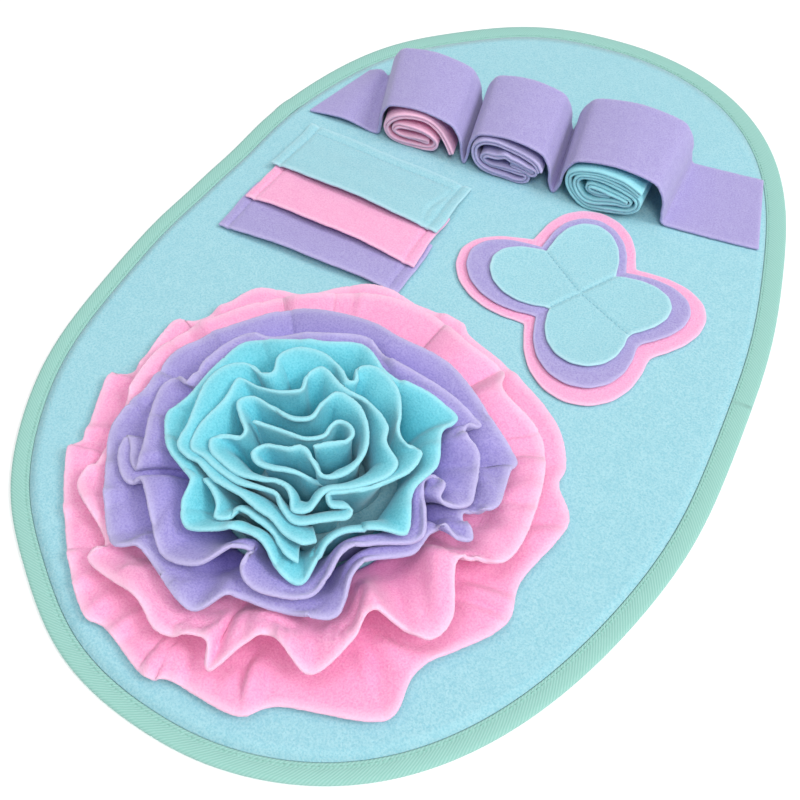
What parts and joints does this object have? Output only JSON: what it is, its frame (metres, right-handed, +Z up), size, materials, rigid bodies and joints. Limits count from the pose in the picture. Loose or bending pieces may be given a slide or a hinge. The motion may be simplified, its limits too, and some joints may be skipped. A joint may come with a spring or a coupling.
{
  "type": "snuffle mat",
  "caption": "Flat oval fleece mat with a bound rim, a coiled flower of ruffles, overlapping flap pockets, rolled strips held by a looped strap and a layered clover, for hiding dry treats.",
  "frame": {"origin": "under the middle of the mat, on the surface that it lies on", "axes": "+Z up, out of the mat's face; +Y along the mat's length, from the flower towards the looped strap; +X across the mat"},
  "size_m": [0.4497, 0.7003, 0.0544],
  "materials": {
    "panel_fleece": "soft brushed pale blue fleece",
    "tape": "mint twill tape with diagonal ribs",
    "pink_fleece": "soft brushed pink fleece",
    "purple_fleece": "soft brushed lilac fleece",
    "blue_fleece": "soft brushed turquoise fleece"
  },
  "bodies": {
    "root": {"mat_panel": "panel_fleece", "binding": "tape", "ruffle_pink_lower": "pink_fleece", "ruffle_pink_upper": "pink_fleece", "ruffle_purple_lower": "purple_fleece", "ruffle_purple_upper": "purple_fleece", "ruffle_blue_outer": "blue_fleece", "ruffle_blue_first": "blue_fleece", "ruffle_blue_second": "blue_fleece", "ruffle_blue_heart": "blue_fleece", "ruffle_blue_side": "blue_fleece", "ruffle_blue_core": "blue_fleece", "pocket_purple": "purple_fleece", "pocket_pink": "pink_fleece", "pocket_blue": "panel_fleece", "loop_strap": "purple_fleece", "roll_pink": "pink_fleece", "roll_purple": "purple_fleece", "roll_blue": "blue_fleece", "clover_pink": "pink_fleece", "clover_purple": "purple_fleece", "clover_blue": "panel_fleece"}
  },
  "joints": []
}
